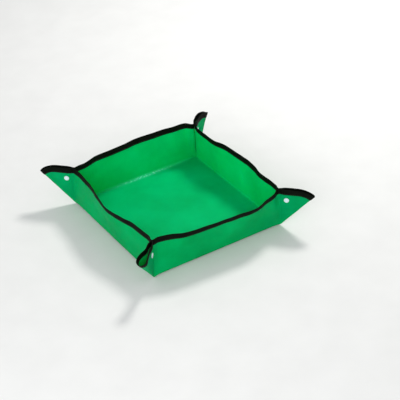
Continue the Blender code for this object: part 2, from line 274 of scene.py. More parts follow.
def rim_radius(turn, depth):
    """Distance from the corner to the line that runs `depth` inside the sheet's edge."""
    flat_angle = turn - crease_angle
    straight = (wall_height - depth) / np.cos(flat_angle)
    reach = arc_centre * (np.sin(flat_angle) + np.cos(flat_angle))
    arc_radius = sheet_corner_radius - depth
    rounded = reach + np.sqrt(np.maximum(reach**2 - 2 * arc_centre**2 + arc_radius**2, 0))
    return np.where(straight * np.sin(flat_angle) <= arc_centre, straight, rounded)


# Slow unevenness of a sheet that was packed folded: seeded waves over the flat cut
waves = []
draw = np.random.default_rng(7)
wave_sizes = (
    (95, 0.30), (70, 0.26), (52, 0.22), (38, 0.15), (27, 0.10), (21, 0.07), (62, 0.2), (44, 0.16)
)
for length, size in wave_sizes:
    bearing, phase = draw.uniform(0, 2 * math.pi, 2)
    pull = 2 * math.pi / (length * mm)
    waves.append((pull * math.cos(bearing), pull * math.sin(bearing), phase, size * mm))


def unevenness(flat):
    total = np.zeros(flat.shape[:-1])
    for along, across, phase, size in waves:
        total += size * np.sin(along * flat[..., 0] + across * flat[..., 1] + phase)
    return total


def fold_half(height):
    """Half width of the soft fold between wall and ear, at a height."""
    return np.minimum(ear_fold, ear_fold_share * np.maximum(height, 0))


def least_apart(height):
    """Half the distance between the pressed halves of an ear, at a height by the wall crease."""
    at_tape = ease((height - (wall_height - 1.6 * tape_width)) / (0.6 * tape_width))
    return pinched_sheets + (pinched_tapes - pinched_sheets) * at_tape


def pinch(turn, radius):
    """How much closer the halves of an ear press together beside their wall crease."""
    apart = apex_offset * ease(radius / apex_relief) + math.sin(crease_spread) * radius
    least = least_apart(radius * np.cos(turn - crease_angle))
    return np.maximum(apart - least, 0) * ease(1 - turn / pinch_turn)


def floor_inset(share, length):
    """Half width of the soft fold between floor and wall."""
    return floor_fold * ease(np.minimum(share, 1 - share) * length / floor_fold_run)


class Wall:
    """A wall from its floor crease to its rim, between the soft folds at its ends."""

    def __init__(self, name, outward, length, distance):
        self.name, self.length = name, length
        self.outward = np.array(outward, float)
        self.along = np.array((abs(outward[1]), abs(outward[0]), 0.0))
        self.middle = self.outward * distance + upright * hinge_height
        ends = crease_lean / degree
        self.leans = ((0, ends),) + lean_shares[name] + ((1, ends),)
        self.chord = self.outward * math.sin(crease_lean) + upright * math.cos(crease_lean)

    def free(self, share):
        """0 at the wall's ends, where the pinched corners hold it to its chord; 1 further in."""
        return ease(np.minimum(share, 1 - share) / wall_hold_share)

    def length_at(self, height):
        return self.length - 2 * height * math.tan(crease_angle)

    def surface(self, share, height):
        """Middle surface: straight up at the floor crease, then out to the rim's lean."""
        free_lean = smooth_through(self.leans, share) * degree
        lean = (crease_lean + (free_lean - crease_lean) * self.free(share))[..., None]
        upward = self.outward * np.sin(lean) + upright * np.cos(lean)
        bend = (np.maximum(height, 0) / wall_height)[..., None] ** base_bend
        rise = self.chord + (upward - self.chord) * bend
        return self.foot(share, height) + height[..., None] * rise

    def foot(self, share, height):
        """The point of the floor crease below a point of the wall."""
        travel = ((share - 0.5) * self.length_at(height))[..., None]
        return self.middle + self.along * travel

    def flat(self, share, height):
        return (self.foot(share, height) + self.outward * height[..., None])[..., :2]

    def share_of(self, x, height):
        """Share of the wall's length at `x` (0..1) between the two soft folds."""
        margin = fold_half(height) / self.length_at(height)
        return margin + (1 - 2 * margin) * x

    def spot(self, x, share, depth):
        height = share * (wall_height - depth)
        where = self.share_of(x, height)
        return self.surface(where, height), self.flat(where, height)

    def calm(self, x, share, depth):
        return ease((share - 0.06) / 0.3)


class EarHalf:
    """One half of a corner's ear with its tip, followed by straight lines from the floor corner."""

    def __init__(self, corner, wall, end, loop, tucked):
        self.corner, self.wall, self.end, self.loop, self.tucked = corner, wall, end, loop, tucked
        inward = wall.along * -end
        self.foot = wall.middle + wall.along * end * wall.length / 2
        self.diagonal = (wall.outward - inward) / math.sqrt(2)
        self.sideways = (wall.outward + inward) / math.sqrt(2)
        half_span = loop.whole_angle / 2
        between = self.world(direction(half_span - corner_inward_tilt, 0))
        self.shift = between * crease_gap / math.sin(half_span)
        self.apex = self.foot + self.shift + self.sideways * apex_offset
        self.crease = self.world(crease_direction)
        self.loop_line = self.world(direction(loop.loop_forward, loop.spread + loop.sway))

    def name(self, piece):
        return piece.format(corner=self.corner, side=self.wall.name)

    def world(self, vector):
        return (
            vector[..., 0:1] * self.diagonal + vector[..., 1:2] * self.sideways
            + vector[..., 2:3] * upright
        )

    def surface(self, turn, radius):
        """The two halves of a loop part at the corner and close again at their fold."""
        away = ease(radius / apex_relief)[..., None]
        close = 1 - ease((turn - self.loop.ear_angle) / self.loop.tip_angle)[..., None]
        parted = self.sideways * apex_offset * close * away
        apart = parted - self.sideways * pinch(turn, radius)[..., None]
        along = self.world(self.loop.line(turn)) * radius[..., None]
        return self.foot + self.shift * away + apart + along

    def flat(self, turn, radius):
        angle = (turn - crease_angle)[..., None]
        spread = self.wall.outward * np.cos(angle) + self.wall.along * self.end * np.sin(angle)
        return (self.foot + spread * radius[..., None])[..., :2]

    def turn_at(self, x, share, depth):
        height = share * (wall_height - depth)
        start = fold_half(height) / np.maximum(height, 1e-6)
        finish = self.loop.whole_angle
        if self.tucked:
            finish = finish + np.minimum(tuck / np.maximum(height, 1e-6), self.loop.tip_angle / 2)
        return start + (finish - start) * x

    def spot(self, x, share, depth):
        turn = self.turn_at(x, share, depth)
        radius = share * rim_radius(turn, depth)
        return self.surface(turn, radius), self.flat(turn, radius)

    def calm(self, x, share, depth):
        turn = self.turn_at(x, share, depth)
        radius = share * rim_radius(turn, depth)
        from_snap = np.hypot(radius * (turn - snap_turn), radius - snap_radius)
        near_snap = ease((from_snap - snap_calm) / snap_calm_run)
        near_fold = ease((self.loop.whole_angle - turn) / (self.loop.tip_angle * 0.8))
        return ease((share - 0.15) / 0.4) * near_snap * near_fold


class EarFold:
    """The soft fold between a wall and one of its ear halves."""

    def __init__(self, half):
        self.half, self.wall = half, half.wall

    def spot(self, x, share, depth):
        half, wall = self.half, self.wall
        height = share * (wall_height - depth)
        margin = fold_half(height) / wall.length_at(height)
        edge = np.where(half.end > 0, 1.0, 0.0)
        on_wall = edge + (-half.end) * margin
        turn = fold_half(height) / np.maximum(height, 1e-6)
        radius = height / np.cos(turn - crease_angle)
        start, finish = wall.surface(on_wall, height), half.surface(turn, radius)
        crease_height = height / math.cos(crease_angle)
        nearer = (1 - fold_depth_share) * least_apart(height)[..., None]
        pressed = half.sideways * nearer * ease(height / apex_relief)[..., None]
        middle = half.surface(0 * height, crease_height) - pressed
        x = x[..., None]
        place = start * (1 - x) ** 2 + middle * 2 * x * (1 - x) + finish * x**2
        flat = wall.flat(on_wall, height) * (1 - x) + half.flat(turn, radius) * x
        return place, flat

    def calm(self, x, share, depth):
        return ease((share - 0.12) / 0.4)


class FloorFold:
    """The soft fold between the floor and a wall; `share` runs over it, from floor to wall."""

    def __init__(self, wall):
        self.wall = wall

    def spot(self, x, share, depth):
        wall = self.wall
        inset = floor_inset(x, wall.length)
        middle = wall.middle + wall.along * ((x - 0.5) * wall.length)[..., None]
        start = middle - wall.outward * inset[..., None]
        finish, flat_finish = wall.spot(x, inset / wall_height, 0 * x)
        across = share[..., None]
        place = start * (1 - across) ** 2 + middle * 2 * across * (1 - across) + finish * across**2
        return place, start[..., :2] * (1 - across) + flat_finish * across

    def calm(self, x, share, depth):
        return 0 * x


class Floor:
    """The floor inside its soft folds."""

    def spot(self, x, share, depth):
        wide = floor_width / 2 - floor_inset(share, floor_length)
        long = floor_length / 2 - floor_inset(x, floor_width)
        place = np.stack(((2 * x - 1) * wide, (2 * share - 1) * long, hinge_height + 0 * x), -1)
        return place, place[..., :2]

    def calm(self, x, share, depth):
        across, along = np.minimum(x, 1 - x), np.minimum(share, 1 - share)
        border = np.minimum(across * floor_width, along * floor_length)
        return ease((border - floor_calm) / floor_calm_run)


def unit(vectors):
    return vectors / np.maximum(np.linalg.norm(vectors, axis=-1, keepdims=True), 1e-15)


def facing(patch, place, x, share, depth, outward):
    """Unit normals of `place` on the side of `outward`."""
    across = place(patch, x + nudge, share, depth) - place(patch, x - nudge, share, depth)
    up = place(patch, x, share + nudge, depth) - place(patch, x, share - nudge, depth)
    normal = unit(np.cross(across, up))
    return normal * np.where((normal * outward).sum(-1) < 0, -1.0, 1.0)[..., None]


def bare(patch, x, share, depth):
    return patch.spot(x, share, depth)[0]


def uneven(patch, x, share, depth):
    """The patch with its slow unevenness; the floor only lifts."""
    place, flat = patch.spot(x, share, depth)
    lift = unevenness(flat) * patch.calm(x, share, depth)
    if isinstance(patch, Floor):
        settled = lift * floor_evenness + floor_lift * patch.calm(x, share, depth)
        return place + upright * settled[..., None]
    return place + facing(patch, bare, x, share, depth, patch.outer) * lift[..., None]


def node_material(name):
    material = bpy.data.materials.new(name)
    material.use_nodes = True
    return material, Graph(material.node_tree), material.node_tree.nodes["Principled BSDF"]


def flat_material(name):
    """A material whose pattern follows the flat cut."""
    material, graph, shader = node_material(name)
    flat = graph.add("ShaderNodeUVMap", uv_map="flat").outputs["UV"]
    split = graph.add("ShaderNodeSeparateXYZ")
    graph.link(flat, split.inputs[0])
    return material, graph, shader, flat, split


def set_inputs(node, values):
    for name, value in values.items():
        node.inputs[name].default_value = value


class Graph:
    """Short names for the nodes of one material."""

    def __init__(self, tree):
        self.tree = tree

    def add(self, kind, **settings):
        node = self.tree.nodes.new(kind)
        for key, value in settings.items():
            setattr(node, key, value)
        return node

    def link(self, source, target):
        self.tree.links.new(source, target)

    def maths(self, operation, a, b=None):
        node = self.add("ShaderNodeMath", operation=operation)
        for socket, value in zip(node.inputs, (a, b)):
            if value is None:
                continue
            if isinstance(value, (int, float)):
                socket.default_value = value
            else:
                self.link(value, socket)
        return node.outputs[0]

    def times(self, a, b):
        return self.maths("MULTIPLY", a, b)

    def noise(self, place, scale, detail=3.0, roughness=0.5):
        node = self.add("ShaderNodeTexNoise")
        self.link(place, node.inputs["Vector"])
        set_inputs(node, {"Scale": scale, "Detail": detail, "Roughness": roughness})
        return node.outputs["Fac"]

    def ramp(self, value, stops):
        node = self.add("ShaderNodeValToRGB")
        self.link(value, node.inputs["Fac"])
        elements = node.color_ramp.elements
        while len(elements) < len(stops):
            elements.new(0.5)
        for element, (at, colour) in zip(elements, stops):
            element.position = at
            element.color = (*colour, 1)
        return node.outputs["Color"]

    def span(self, value, low, high):
        node = self.add("ShaderNodeMapRange")
        self.link(value, node.inputs["Value"])
        set_inputs(node, {"To Min": low, "To Max": high})
        return node.outputs["Result"]

    def mix(self, share, a, b):
        node = self.add("ShaderNodeMix", data_type="RGBA", blend_type="MIX")
        for socket, value in ((node.inputs[0], share), (node.inputs[6], a), (node.inputs[7], b)):
            if isinstance(value, tuple):
                socket.default_value = (*value, 1)
            elif isinstance(value, (int, float)):
                socket.default_value = value
            else:
                self.link(value, socket)
        return node.outputs[2]

    def bump(self, height, strength, distance, after=None):
        node = self.add("ShaderNodeBump")
        self.link(height, node.inputs["Height"])
        set_inputs(node, {"Strength": strength, "Distance": distance})
        if after is not None:
            self.link(after, node.inputs["Normal"])
        return node.outputs["Normal"]


def beside(graph, value, line, reach):
    """1 where `value` is at `line`, falling to 0 at `reach` from it."""
    away = graph.maths("ABSOLUTE", graph.maths("SUBTRACT", value, line))
    return graph.maths("MAXIMUM", graph.maths("SUBTRACT", 1, graph.maths("DIVIDE", away, reach)), 0)


def paint_crease_light(graph, split, base):
    """Painted light along the creases between walls and ears: a paler green brightens the shaded
    groove where the thin sheet is pinched, standing in for light let through the sheet.
    """
    across = graph.maths("ABSOLUTE", split.outputs["X"])
    along = graph.maths("ABSOLUTE", split.outputs["Y"])
    long_walls = graph.times(beside(graph, across, floor_width / 2, painted_crease_light_reach),
                             graph.maths("GREATER_THAN", along, floor_length / 2 + floor_fold))
    side_walls = graph.times(beside(graph, along, floor_length / 2, painted_crease_light_reach),
                             graph.maths("GREATER_THAN", across, floor_width / 2 + floor_fold))
    return graph.mix(graph.maths("MAXIMUM", long_walls, side_walls), base, painted_crease_light_colour)


def contrast(graph, value, middle, gain):
    """`value` made steeper about `middle` and held between 0 and 1."""
    steep = graph.times(graph.maths("SUBTRACT", value, middle), gain)
    return graph.maths("MAXIMUM", graph.maths("MINIMUM", steep, 1), 0)


def paint_crease_highlight(graph, flat, split, base):
    """Painted highlight along the back floor crease: a faint pale haze with brighter glint dots in
    it.
    """
    across = beside(graph, split.outputs["Y"], floor_length / 2 - painted_highlight_inset, painted_highlight_width)
    along = beside(graph, split.outputs["X"], painted_highlight_middle, painted_highlight_reach)
    patch = graph.times(across, along)
    hazy = graph.mix(graph.times(patch, 0.55), base, painted_highlight_haze)
    dots = contrast(graph, graph.noise(flat, 210, 2, 0.6), 0.52, 8.0)
    bright = contrast(graph, patch, 0.30, 1.7)
    return graph.mix(graph.times(dots, bright), hazy, painted_glint_dots)


def sheet_material(name, dark, middle, pale, roughness, lit=False):
    """Woven flat yarns under a thin glossy film."""
    material, graph, shader, flat, split = flat_material(name)
    across = graph.times(split.outputs["X"], math.pi / weave_pitch)
    along = graph.times(split.outputs["Y"], math.pi / weave_pitch)
    parity = graph.times(graph.maths("SINE", across), graph.maths("SINE", along))
    over = graph.maths("GREATER_THAN", parity, 0)
    rise = graph.maths("POWER", graph.maths("ABSOLUTE", parity), 0.5)
    yarn = graph.maths("ADD", graph.times(rise, 0.75), graph.times(over, 0.25))
    broad = graph.noise(flat, 9, 4, 0.55)
    fine = graph.noise(flat, 260, 2)
    base = graph.ramp(broad, ((0.32, dark), (0.52, middle), (0.72, pale)))
    shaded = graph.mix(graph.times(graph.maths("SUBTRACT", 1, yarn), 0.34), base, dark)
    wear_and_painted_light = graph.mix(graph.times(fine, 0.10), shaded, pale)
    # On the inner face only: painted light along the creases between walls and ears, and a painted
    # highlight along the back floor crease
    if lit:
        wear_and_painted_light = paint_crease_light(graph, split, wear_and_painted_light)
        wear_and_painted_light = paint_crease_highlight(graph, flat, split, wear_and_painted_light)
    graph.link(wear_and_painted_light, shader.inputs["Base Color"])
    gloss = graph.noise(flat, 34, 3)
    graph.link(graph.span(gloss, roughness - 0.07, roughness + 0.10), shader.inputs["Roughness"])
    weave = graph.bump(yarn, 0.45, weave_rise)
    film = graph.bump(graph.noise(flat, 120, 3), 0.35, film_rise, weave)
    graph.link(film, shader.inputs["Normal"])
    set_inputs(shader, {
        "Specular IOR Level": 0.015, "Subsurface Weight": 0.35,
        "Subsurface Radius": (0.05, 1.0, 0.35), "Subsurface Scale": 0.003,
    })
    return material


def ribs(graph, value, pitch):
    """Rounded ribs at every `pitch` along `value`."""
    return graph.maths("ABSOLUTE", graph.maths("SINE", graph.times(value, math.pi / pitch)))


def tape_material():
    """Ribbed black webbing, a little paler on the rib tops."""
    material, graph, shader, flat, split = flat_material("binding_ribbed_black")
    rib = ribs(graph, split.outputs["X"], 0.9 * mm)
    cord = ribs(graph, split.outputs["Y"], 1.6 * mm)
    height = graph.maths("ADD", graph.times(rib, 0.7), graph.times(cord, 0.3))
    patchy = graph.noise(flat, 46, 4)
    base = graph.ramp(patchy, ((0.35, (0.0018, 0.0028, 0.0016)), (0.7, (0.0048, 0.0064, 0.0040))))
    # A little paler on the rib tops
    rib_top_pale = graph.times(graph.maths("POWER", height, 3), 0.25)
    paler_rib_tops = graph.mix(rib_top_pale, base, (0.009, 0.012, 0.008))
    graph.link(paler_rib_tops, shader.inputs["Base Color"])
    graph.link(graph.span(patchy, 0.50, 0.68), shader.inputs["Roughness"])
    graph.link(graph.bump(height, 0.6, 0.00022), shader.inputs["Normal"])
    shader.inputs["Specular IOR Level"].default_value = 0.04
    return material


def thread_material():
    """Twisted black thread."""
    material, graph, shader, _, split = flat_material("thread_black")
    lay = graph.maths("ADD", split.outputs["X"], split.outputs["Y"])
    twist = ribs(graph, lay, 0.45 * mm)
    blacks = graph.mix(twist, (0.010, 0.012, 0.010), (0.030, 0.034, 0.030))
    graph.link(blacks, shader.inputs["Base Color"])
    graph.link(graph.span(twist, 0.62, 0.42), shader.inputs["Roughness"])
    graph.link(graph.bump(twist, 0.5, 0.00008), shader.inputs["Normal"])
    return material


def snap_material():
    """Moulded glossy pale plastic with faint flow marks."""
    material, graph, shader = node_material("snap_pale_plastic")
    place = graph.add("ShaderNodeTexCoord").outputs["Object"]
    flow = graph.noise(place, 160, 3)
    grain = graph.noise(place, 1500, 2)
    pale = graph.ramp(flow, ((0.3, (0.60, 0.75, 0.80)), (0.7, (0.74, 0.87, 0.90))))
    graph.link(pale, shader.inputs["Base Color"])
    graph.link(graph.span(flow, 0.16, 0.30), shader.inputs["Roughness"])
    graph.link(graph.bump(grain, 0.12, 0.0001), shader.inputs["Normal"])
    set_inputs(shader, {
        "Subsurface Weight": 0.12, "Subsurface Radius": (0.002, 0.002, 0.002),
        "Coat Weight": 0.3, "Coat Roughness": 0.12,
    })
    return material


outside = sheet_material("sheet_outside_green", *outside_greens, 0.44)
inside = sheet_material("sheet_inside_green", *inside_greens, 0.42, lit=True)
tape_look = tape_material()
thread_look = thread_material()
snap_look = snap_material()


def placed(name, data):
    obj = bpy.data.objects.new(name, data)
    bpy.context.scene.collection.objects.link(obj)
    return obj


def mesh_object(name, points, faces, flats, looks, indices, normals=None):
    mesh = bpy.data.meshes.new(name)
    mesh.from_pydata([tuple(point) for point in points], [], faces)
    layer = mesh.uv_layers.new(name="flat")
    corner_vertices = np.empty(len(mesh.loops), dtype=np.int32)
    mesh.loops.foreach_get("vertex_index", corner_vertices)
    layer.data.foreach_set("uv", np.asarray(flats, np.float32)[corner_vertices].ravel())
    for look in looks:
        mesh.materials.append(look)
    mesh.polygons.foreach_set("material_index", np.asarray(indices, np.int32))
    mesh.shade_smooth()
    if normals is not None:
        mesh.normals_split_custom_set_from_vertices([tuple(normal) for normal in normals])
    mesh.update()
    return placed(name, mesh)


def grid_faces(columns, rows, first, flipped):
    faces = []
    for row in range(rows):
        for column in range(columns):
            a = first + row * (columns + 1) + column
            face = (a, a + 1, a + columns + 2, a + columns + 1)
            faces.append(face[::-1] if flipped else face)
    return faces


def grid_border(columns, rows):
    bottom = list(range(columns + 1))
    right = [row * (columns + 1) + columns for row in range(1, rows + 1)]
    top = [rows * (columns + 1) + column for column in range(columns - 1, -1, -1)]
    left = [row * (columns + 1) for row in range(rows - 1, 0, -1)]
    return bottom + right + top + left


def sheet_piece(name, patch, columns, rows, shares=None):
    """A patch of the sheet with its thickness: outer face, inner face and rim."""
    x, share = np.meshgrid(np.linspace(0, 1, columns + 1), np.linspace(0, 1, rows + 1))
    if shares is not None:
        share = shares(x, share)
    depth = 0 * x
    sampled = share if isinstance(patch, (Floor, FloorFold)) else np.maximum(share, 2 * nudge)
    place = uneven(patch, x, share, depth)
    normal = facing(patch, uneven, x, sampled, depth, patch.outer)
    _, flat = patch.spot(x, share, depth)
    outer = (place + normal * sheet_thickness / 2).reshape(-1, 3)
    inner = (place - normal * sheet_thickness / 2).reshape(-1, 3)
    normal = normal.reshape(-1, 3)
    flat = flat.reshape(-1, 2)
    count = len(outer)
    middle = (rows // 2) * (columns + 1) + columns // 2
    start = outer[middle]
    turned = np.cross(outer[middle + 1] - start, outer[middle + columns + 1] - start)
    flipped = bool(turned @ normal[middle] < 0)
    faces = grid_faces(columns, rows, 0, flipped) + grid_faces(columns, rows, count, not flipped)
    indices = [0] * (columns * rows) + [1] * (columns * rows)
    border = grid_border(columns, rows)
    for a, b in zip(border, border[1:] + border[:1]):
        rim = (b, a, a + count, b + count)
        faces.append(rim[::-1] if flipped else rim)
        indices.append(0)
    points = np.concatenate((outer, inner))
    normals = np.concatenate((normal, -normal))
    flats = np.concatenate((flat, flat))
    obj = mesh_object(name, points, faces, flats, (outside, inside), indices, normals)
    cells = flat.reshape(rows + 1, columns + 1, 2)
    one, two = cells[1:, 1:] - cells[:-1, :-1], cells[1:, :-1] - cells[:-1, 1:]
    obj["cut_area"] = float(np.abs(one[..., 0] * two[..., 1] - one[..., 1] * two[..., 0]).sum() / 2)
    size = np.ptp(cells.reshape(-1, 2), axis=0)
    obj["cut_size"] = [float(size[0]), float(size[1])]
    return obj


def tape_section():
    """(depth inside the edge, height off the sheet) once round the folded tape."""
    edge = tape_width
    side = [
        (edge, 0.12), (edge, 0.55), (edge - 0.4 * mm, 0.92), (edge - 1.2 * mm, 1.0),
        (edge - 1.75 * mm, 0.93), (edge - stitch_inset, 0.84), (edge - 2.25 * mm, 0.93),
        (edge - 3.0 * mm, 1.02), (edge * 0.45, 1.06), (edge * 0.2, 1.02), (0.3 * mm, 1.0),
    ]
    side = [(depth, height * tape_half) for depth, height in side]
    turns = (1.15, 0.6, 0.0, -0.6, -1.15)
    nose = [(-tape_half * math.cos(turn), tape_half * math.sin(turn)) for turn in turns]
    return side + nose + [(depth, -height) for depth, height in side[::-1]]


def tape_piece(name, patch, columns):
    """The folded tape along a patch's edge."""
    section = tape_section()
    depth, height = np.array(section).T
    x, depth = np.meshgrid(np.linspace(0, 1, columns + 1), depth)
    height = np.repeat(height[:, None], columns + 1, axis=1)
    share = 1 + 0 * x
    middle = uneven(patch, x, share, depth)
    normal = facing(patch, uneven, x, share, depth, patch.outer)
    rim_flat = patch.spot(x[:1], share[:1], 0 * x[:1])[1][0]
    run = np.concatenate(([0], np.cumsum(np.linalg.norm(np.diff(rim_flat, axis=0), axis=1))))
    wobble = 1 + 0.10 * np.sin(run * 190)[None, :] + 0.06 * np.sin(run * 71 + 1)[None, :]
    place = middle + normal * (height * wobble)[..., None]
    legs = np.diff(np.array(section), axis=0)
    around = np.concatenate(([0], np.cumsum(np.hypot(legs[:, 0], legs[:, 1]))))
    flats = np.stack(np.meshgrid(run, around), axis=-1)
    points = place.reshape(-1, 3)
    rows = len(section)
    wide = columns + 1
    faces = []
    for row in range(rows):
        near, far = row * wide, (row + 1) % rows * wide
        for column in range(columns):
            faces.append((near + column, near + column + 1, far + column + 1, far + column))
    faces.append(tuple(row * wide for row in range(rows)))
    faces.append(tuple(row * wide + columns for row in range(rows))[::-1])
    probe = section_probe * wide + columns // 2
    outward = points[probe] - middle.reshape(-1, 3)[probe]
    a, b, _, d = faces[section_probe * columns + columns // 2]
    turned = np.cross(points[b] - points[a], points[d] - points[a])
    if turned @ outward < 0:
        faces = [face[::-1] for face in faces]
    obj = mesh_object(name, points, faces, flats.reshape(-1, 2), (tape_look,), [0] * len(faces))
    return obj


def stitch_piece(name, patch, to_x=1.0):
    """A row of stitches on each face of the tape."""
    sides, rings = 6, ((-0.5, 0.30), (-0.34, 0.85), (0.0, 1.0), (0.34, 0.85), (0.5, 0.30))
    samples = np.linspace(0, to_x, 200)
    depth = tape_width - stitch_inset
    line = uneven(patch, samples, 1 + 0 * samples, depth + 0 * samples)
    run = np.concatenate(([0], np.cumsum(np.linalg.norm(np.diff(line, axis=0), axis=1))))
    count = max(1, int(run[-1] / stitch_pitch))
    centres = (np.arange(count) + 0.5) * run[-1] / count
    offsets, widths = np.array(rings).T
    rings_at = (centres[:, None] + offsets * stitch_length).ravel()
    wide = np.tile(widths, count)
    x = np.interp(rings_at, run, samples)
    one, far = np.ones_like(x), np.full_like(x, depth)
    middle = uneven(patch, x, one, far)
    upward = facing(patch, uneven, x, one, far, patch.outer)
    ahead = unit(uneven(patch, x + nudge, one, far) - uneven(patch, x - nudge, one, far))
    angle = 2 * math.pi * np.arange(sides) / sides
    points, faces, flats = [], [], []
    for side in (-1, 1):
        normal = upward * side
        aside = np.cross(ahead, normal)
        hub = middle + normal * (tape_half * 0.84 + stitch_radius * 0.55 * wide)[:, None]
        cosine, sine = np.cos(angle)[None, :, None], np.sin(angle)[None, :, None]
        circle = normal[:, None] * cosine + aside[:, None] * sine
        ends = hub[:, None] + circle * (stitch_radius * wide)[:, None, None]
        points.extend(ends.reshape(-1, 3))
        flats.extend((at, stitch_radius * turn) for at in rings_at for turn in angle)
        first = len(points) - count * len(rings) * sides
        for stitch in range(count):
            base = first + stitch * len(rings) * sides
            for ring in range(len(rings) - 1):
                for step in range(sides):
                    a = base + ring * sides + step
                    b = base + ring * sides + (step + 1) % sides
                    faces.append((a, b, b + sides, a + sides))
            faces.append(tuple(base + step for step in range(sides))[::-1])
            faces.append(tuple(base + (len(rings) - 1) * sides + step for step in range(sides)))
    obj = mesh_object(name, points, faces, flats, (thread_look,), [0] * len(faces))
    return obj


def turned_piece(name, profile, foot, axis, steps=40):
    """A profile of (radius, height) points, from top to bottom, turned round `axis` at `foot`."""
    points, faces = [], []
    axis = Vector(axis).normalized()
    one = axis.orthogonal().normalized()
    two = axis.cross(one)
    for radius, height in profile:
        for step in range(steps):
            angle = 2 * math.pi * step / steps
            spoke = one * math.cos(angle) + two * math.sin(angle)
            points.append(Vector(foot) + axis * height + spoke * max(radius, 1e-5))
    for ring in range(len(profile) - 1):
        for step in range(steps):
            a, b = ring * steps + step, ring * steps + (step + 1) % steps
            faces.append((b, a, a + steps, b + steps))
    faces.append(tuple(range(steps)))
    faces.append(tuple((len(profile) - 1) * steps + step for step in range(steps))[::-1])
    mesh = bpy.data.meshes.new(name)
    centre = Vector(foot)
    mesh.from_pydata([tuple(point - centre) for point in points], [], faces)
    mesh.materials.append(snap_look)
    mesh.shade_smooth()
    mesh.set_sharp_from_angle(angle=50 * degree)
    obj = placed(name, mesh)
    obj.location = centre
    return obj


def round_corner(profile, index, radius, steps=4):
    """Profile with one corner rounded."""
    before, at, after = (np.array(profile[index + k]) for k in (-1, 0, 1))
    start = at + unit(before - at) * radius
    finish = at + unit(after - at) * radius
    arc = []
    for step in range(steps + 1):
        t = step / steps
        arc.append(tuple(start * (1 - t) ** 2 + at * 2 * t * (1 - t) + finish * t**2))
    return profile[:index] + arc + profile[index + 1:]


def snap_centre(half):
    place = half.apex + half.world(half.loop.line(np.array([snap_turn])))[0] * snap_radius
    return place - half.sideways * (half.sideways @ (place - half.foot))


def make_snaps(half, carries_stud):
    """The cap on the ear half's outer face, and the stud or the socket on its inner one."""
    centre, axis = snap_centre(half), half.sideways
    seat = snap_half_stack + sheet_thickness / 2
    rim, top = seat + 0.75 * mm, seat + 2.05 * mm
    dome = [(0.0, top - 0.22 * mm), (0.55 * mm, top - 0.20 * mm), (0.95 * mm, top - 0.02 * mm)]
    for angle in np.linspace(78, 12, 9) * degree:
        dome.append((cap_radius * math.cos(angle), rim + (top - rim) * math.sin(angle)))
    profile = dome + [
        (cap_radius, rim), (cap_radius, seat + 0.35 * mm), (cap_radius - 0.35 * mm, seat),
        (post_radius, seat), (post_radius, seat - 1.6 * mm), (0.0, seat - 1.6 * mm),
    ]
    cap = turned_piece(half.name("{corner}_snap_{side}_dome"), profile, centre, axis)
    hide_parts(half.name("{corner}_snap_{side}_cap"))
    inner = snap_half_stack - sheet_thickness / 2
    low, flange = 0.15 * mm, 0.9 * mm
    if carries_stud:
        node, rounding = "{corner}_snap_stud", 0.3 * mm
        profile = [
            (0.0, inner), (disc_radius, inner), (disc_radius, inner - flange),
            (3.6 * mm, inner - flange), (3.3 * mm, low), (2.1 * mm, low),
            (2.25 * mm, -0.55 * mm), (1.9 * mm, -1.0 * mm), (0.0, -1.0 * mm),
        ]
    else:
        node, rounding = "{corner}_snap_socket", 0.5 * mm
        profile = [
            (0.0, inner), (disc_radius, inner), (disc_radius, low), (2.5 * mm, low),
            (2.5 * mm, 1.4 * mm), (0.0, 1.4 * mm),
        ]
    profile = round_corner(profile, 2, rounding)
    piece = turned_piece(half.name(node + "_turned"), profile, centre, axis)
    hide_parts(half.name(node))
    return cap, piece


def flatten(obj, wall):
    """Gives the piece its own mesh and attaches it to the wall's body."""
    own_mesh(obj)
    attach(obj, wall.name + "_wall")


def bend_floor(obj):
    """Bakes the piece's placement into its mesh; the piece lies across the crease between floor and
    wall.
    """
    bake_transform(obj)


def bend_ear(obj, half):
    """Bakes the piece's placement into its mesh; the piece lies across the crease between wall and
    ear.
    """
    wall = half.wall
    height = np.array([wall_height / 2])
    margin = ear_fold / wall.length_at(height)
    on_wall = (1 - margin) if half.end > 0 else margin
    start = wall.surface(on_wall, height)[0]
    turn = fold_half(height) / height
    finish = half.surface(turn, height / np.cos(turn - crease_angle))[0]
    across = finish - start
    across = across - half.crease * (across @ half.crease)
    half.name("{corner}_ear_{side}")
    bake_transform(obj)


def bend_tip(obj, half):
    """Bakes the piece's placement into its mesh; the piece lies across the line where the ear
    starts to curl round into the tip.
    """
    small = 0.3 * degree
    beyond = half.loop.line(np.array([half.loop.ear_angle + small]))
    before = half.loop.line(np.array([half.loop.ear_angle - small]))
    ahead = half.world(beyond - before)[0]
    ahead = unit(ahead - half.loop_line * (ahead @ half.loop_line))
    half.name("{corner}_ear_{side}")
    half.name("{corner}_tip_{side}")
    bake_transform(obj)


def flatten_ear(obj, half):
    """Gives a piece of an ear that bulges down from its wall crease to its loop line its own mesh
    and attaches it to the ear half's body.
    """
    fold = half.name("{corner}_ear_{side}_fold")
    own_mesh(obj)
    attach(obj, half.name("{corner}_ear_{side}"))


walls = {
    "front": Wall("front", (0, -1, 0), floor_width, floor_length / 2),
    "right": Wall("right", (1, 0, 0), floor_length, floor_width / 2),
    "back": Wall("back", (0, 1, 0), floor_width, floor_length / 2),
    "left": Wall("left", (-1, 0, 0), floor_length, floor_width / 2),
}
corners = {
    "front_left": (("front", -1), ("left", -1)),
    "front_right": (("front", 1), ("right", -1)),
    "back_right": (("back", 1), ("right", 1)),
    "back_left": (("back", -1), ("left", 1)),
}


def ear_half(corner, side, end, tucked):
    spread, sway, leaning_side = loops[corner]
    leaning, leaned_from = loop_sides(spread, sway)
    loop = leaning if side == leaning_side else leaned_from
    return EarHalf(corner, walls[side], end, loop, tucked)


